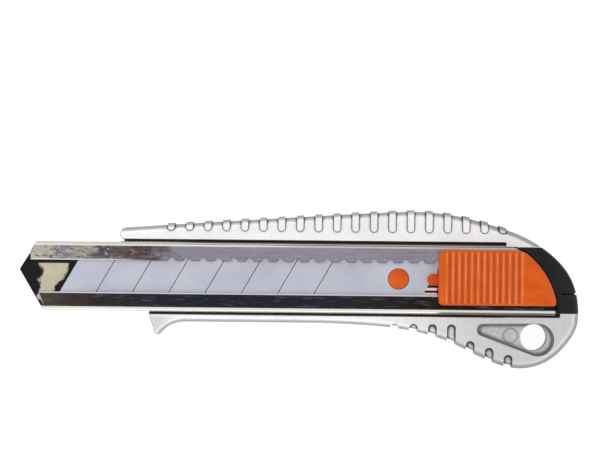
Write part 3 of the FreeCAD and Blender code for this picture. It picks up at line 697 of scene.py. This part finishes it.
def make_button():
    """Thumb button: rings of points round its middle, one ring for each place on the profile.

    A point sits on its ray at the outline's reach less the ring's inset, drawn in by the
    ring's share.  Rings at the top take their height from the waves.
    """
    steps_round = 640
    shift_forward = 1.0
    middle_x = (button_low.x + button_high.x) / 2 - shift_forward
    middle = (middle_x, (button_low.y + button_high.y) / 2)
    angle = np.linspace(0.0, 2 * math.pi, steps_round, endpoint=False)
    inset, share, z = (column[:, None] for column in button_rings().T)
    reach = (button_reach(angle, middle)[None, :] - inset) * (1.0 - share)
    x = middle[0] + reach * np.cos(angle)
    y = middle[1] + reach * np.sin(angle)
    z = np.where(z >= button_high.z, wave_height(x, y), z + np.zeros_like(x))
    return closed_rings("thumb_button", np.stack([x, y, z], axis=-1) * MM)


def closed_rings(name, rings):
    """Closed smooth mesh through rings of points, with a point in the middle of each end."""
    count, around = rings.shape[:2]
    points = np.concatenate([rings.reshape(-1, 3), rings[:1].mean(axis=1), rings[-1:].mean(axis=1)])
    here = np.arange(around)
    after = (here + 1) % around
    row = (np.arange(count - 1) * around)[:, None]
    quads = np.stack([row + here, row + after, row + around + after, row + around + here], axis=-1)
    first = np.stack([after, here, np.full(around, count * around)], axis=-1)
    end = (count - 1) * around
    last = np.stack([end + here, end + after, np.full(around, count * around + 1)], axis=-1)
    mesh = bpy.data.meshes.new(name)
    faces = quads.reshape(-1, 4).tolist() + first.tolist() + last.tolist()
    mesh.from_pydata(points.tolist(), [], faces)
    mesh.polygons.foreach_set("use_smooth", np.ones(len(mesh.polygons), bool))
    piece = bpy.data.objects.new(name, mesh)
    bpy.context.scene.collection.objects.link(piece)
    return piece


# ---------------------------------------------------------------- the stage
def sheet_mesh(name, xs, ys, zs):
    """Mesh through a grid of points, one quad between each four neighbours."""
    rows, columns = xs.shape
    points = np.stack([xs, ys, zs], axis=-1).reshape(-1, 3)
    corner = (np.arange(rows - 1)[:, None] * columns + np.arange(columns - 1)).ravel()
    faces = np.stack([corner, corner + 1, corner + columns + 1, corner + columns], axis=-1)
    mesh = bpy.data.meshes.new(name)
    mesh.from_pydata(points.tolist(), [], faces.tolist())
    return mesh


def make_floor():
    """Flat square of card under the knife: x and y run over a grid, z is just below its back."""
    reach = 3.0
    gap = 0.05 * MM
    lines = 13
    across = np.linspace(-reach, reach, lines)
    xs, ys = np.meshgrid(across, across)
    floor = bpy.data.objects.new("floor", sheet_mesh("floor", xs, ys, np.full_like(xs, -gap)))
    floor.data.materials.append(pale_card())
    bpy.context.scene.collection.objects.link(floor)


def soft_light(name, place, target, size, power, tint=(1.0, 1.0, 1.0)):
    """Soft box at a place, aimed at a target; its size is in metres and its power in watts."""
    lamp = bpy.data.lights.new(name, "AREA")
    lamp.shape = "RECTANGLE"
    lamp.size, lamp.size_y = size
    lamp.energy = power
    lamp.color = tint
    box = bpy.data.objects.new(name, lamp)
    box.location = place
    box.rotation_euler = (target - place).to_track_quat("-Z", "Y").to_euler()
    bpy.context.scene.collection.objects.link(box)


def make_room(strength):
    """Pale room, bright overhead and dimmer towards the horizon."""
    world = bpy.data.worlds.new("room")
    bpy.context.scene.world = world
    world.use_nodes = True
    tree = world.node_tree
    tree.nodes.clear()
    output = tree.nodes.new("ShaderNodeOutputWorld")
    light = tree.nodes.new("ShaderNodeBackground")
    way = tree.nodes.new("ShaderNodeTexCoord")
    axes = tree.nodes.new("ShaderNodeSeparateXYZ")
    ramp = tree.nodes.new("ShaderNodeValToRGB")
    marks = ramp.color_ramp.elements
    stops = [(0.0, (0.12, 0.12, 0.11)), (0.30, (0.34, 0.34, 0.32)), (0.62, (1.0, 1.0, 1.0)),
             (0.95, (0.95, 0.95, 0.95))]
    while len(marks) < len(stops):
        marks.new(0.5)
    for mark, (place, colour) in zip(marks, stops):
        mark.position = place
        mark.color = (*colour, 1.0)
    tree.links.new(way.outputs["Generated"], axes.inputs["Vector"])
    tree.links.new(axes.outputs["Z"], ramp.inputs["Fac"])
    tree.links.new(ramp.outputs["Color"], light.inputs["Color"])
    light.inputs["Strength"].default_value = strength
    tree.links.new(light.outputs["Background"], output.inputs["Surface"])


def make_camera():
    """Long lens straight above the knife, turned a little about its own axis; lens and sensor in mm."""
    lens, sensor = 174.0, 36.0
    view_width = 165.2 * MM
    turned = math.radians(0.59)
    behind_tip, above_channel = 77.26, 14.6
    middle = spot(tip + behind_tip, channel_middle + above_channel, casting_face)
    camera = bpy.data.cameras.new("camera")
    camera.lens = lens
    camera.sensor_width = sensor
    eye = bpy.data.objects.new("camera", camera)
    eye.location = middle + Vector((0.0, 0.0, view_width * lens / sensor))
    eye.rotation_euler = (0.0, 0.0, turned)
    bpy.context.scene.collection.objects.link(eye)
    bpy.context.scene.camera = eye


make_camera()
make_room(strength=0.70)
make_floor()
aim = spot(0.0, 0.0, casting_face)
warm = (1.0, 0.98, 0.95)
soft_light("left_box", spot(-620, 300, 520), aim, size=(1.1, 1.3), power=4.0)
soft_light("right_box", spot(600, -140, 420), aim, size=(0.8, 1.0), power=2.0, tint=warm)
soft_light("low_box", spot(0, -640, 460), aim, size=(1.2, 0.6), power=1.5)

dress("handle_casting", cast_metal())
dress("blade_channel", plated_sheet())
dress("channel_rivets", rivet_metal())
dress("snap_off_blade", ground_steel())
orange = orange_moulding()
dress("blade_carrier", orange)
button = make_button()
button.data.materials.append(orange)
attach(button, "button")
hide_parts("slider_button")
dress("lock_spring", spring_strip())
dress("end_cap", black_moulding())

bpy.context.scene.view_settings.view_transform = "Standard"
